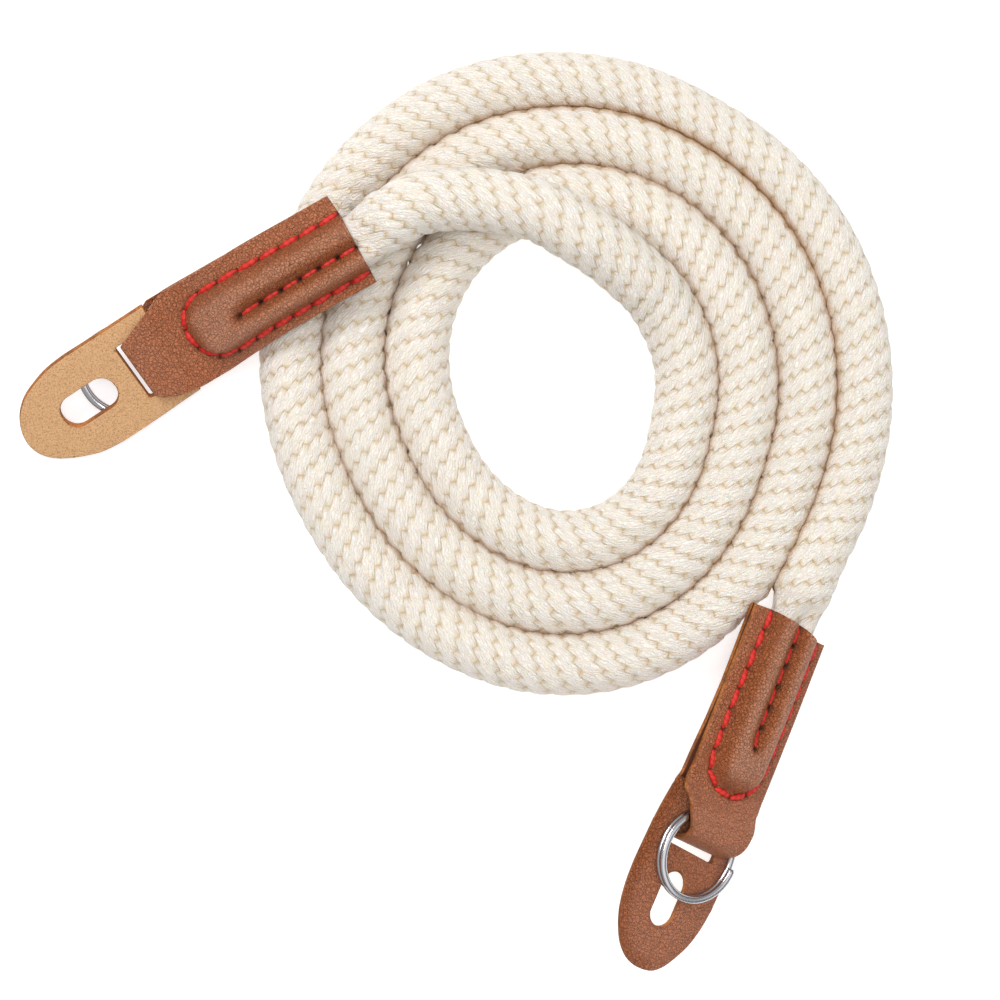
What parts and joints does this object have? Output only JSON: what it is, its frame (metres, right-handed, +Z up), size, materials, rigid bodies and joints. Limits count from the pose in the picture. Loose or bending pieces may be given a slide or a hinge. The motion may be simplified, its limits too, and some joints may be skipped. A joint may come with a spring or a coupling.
{
  "type": "camera shoulder strap",
  "caption": "Braided rope shoulder strap for a camera, coiled flat, with folded leather ends, split rings and leather protector tabs.",
  "frame": {"origin": "centre of the coiled strap's outline, on the surface that it lies on", "axes": "+Z up from that surface, +X towards the coil's closed right side, +Y from the end with its ring up towards the coil"},
  "size_m": [0.1834, 0.1922, 0.0247],
  "materials": {
    "rope_cotton": "braided undyed cotton, matte",
    "end_leather": "brown pebbled grain, satin",
    "tab_leather": "brown pebbled grain on one side, tan suede on the other",
    "ring_steel": "polished, slightly brushed"
  },
  "bodies": {
    "root": {"rope": "rope_cotton", "rope_end_a": "rope_cotton", "rope_end_b": "rope_cotton", "leather_end_a": "end_leather", "leather_end_b": "end_leather", "tab_a": "tab_leather", "tab_b": "tab_leather", "ring_a": "ring_steel", "ring_b": "ring_steel"}
  },
  "joints": []
}
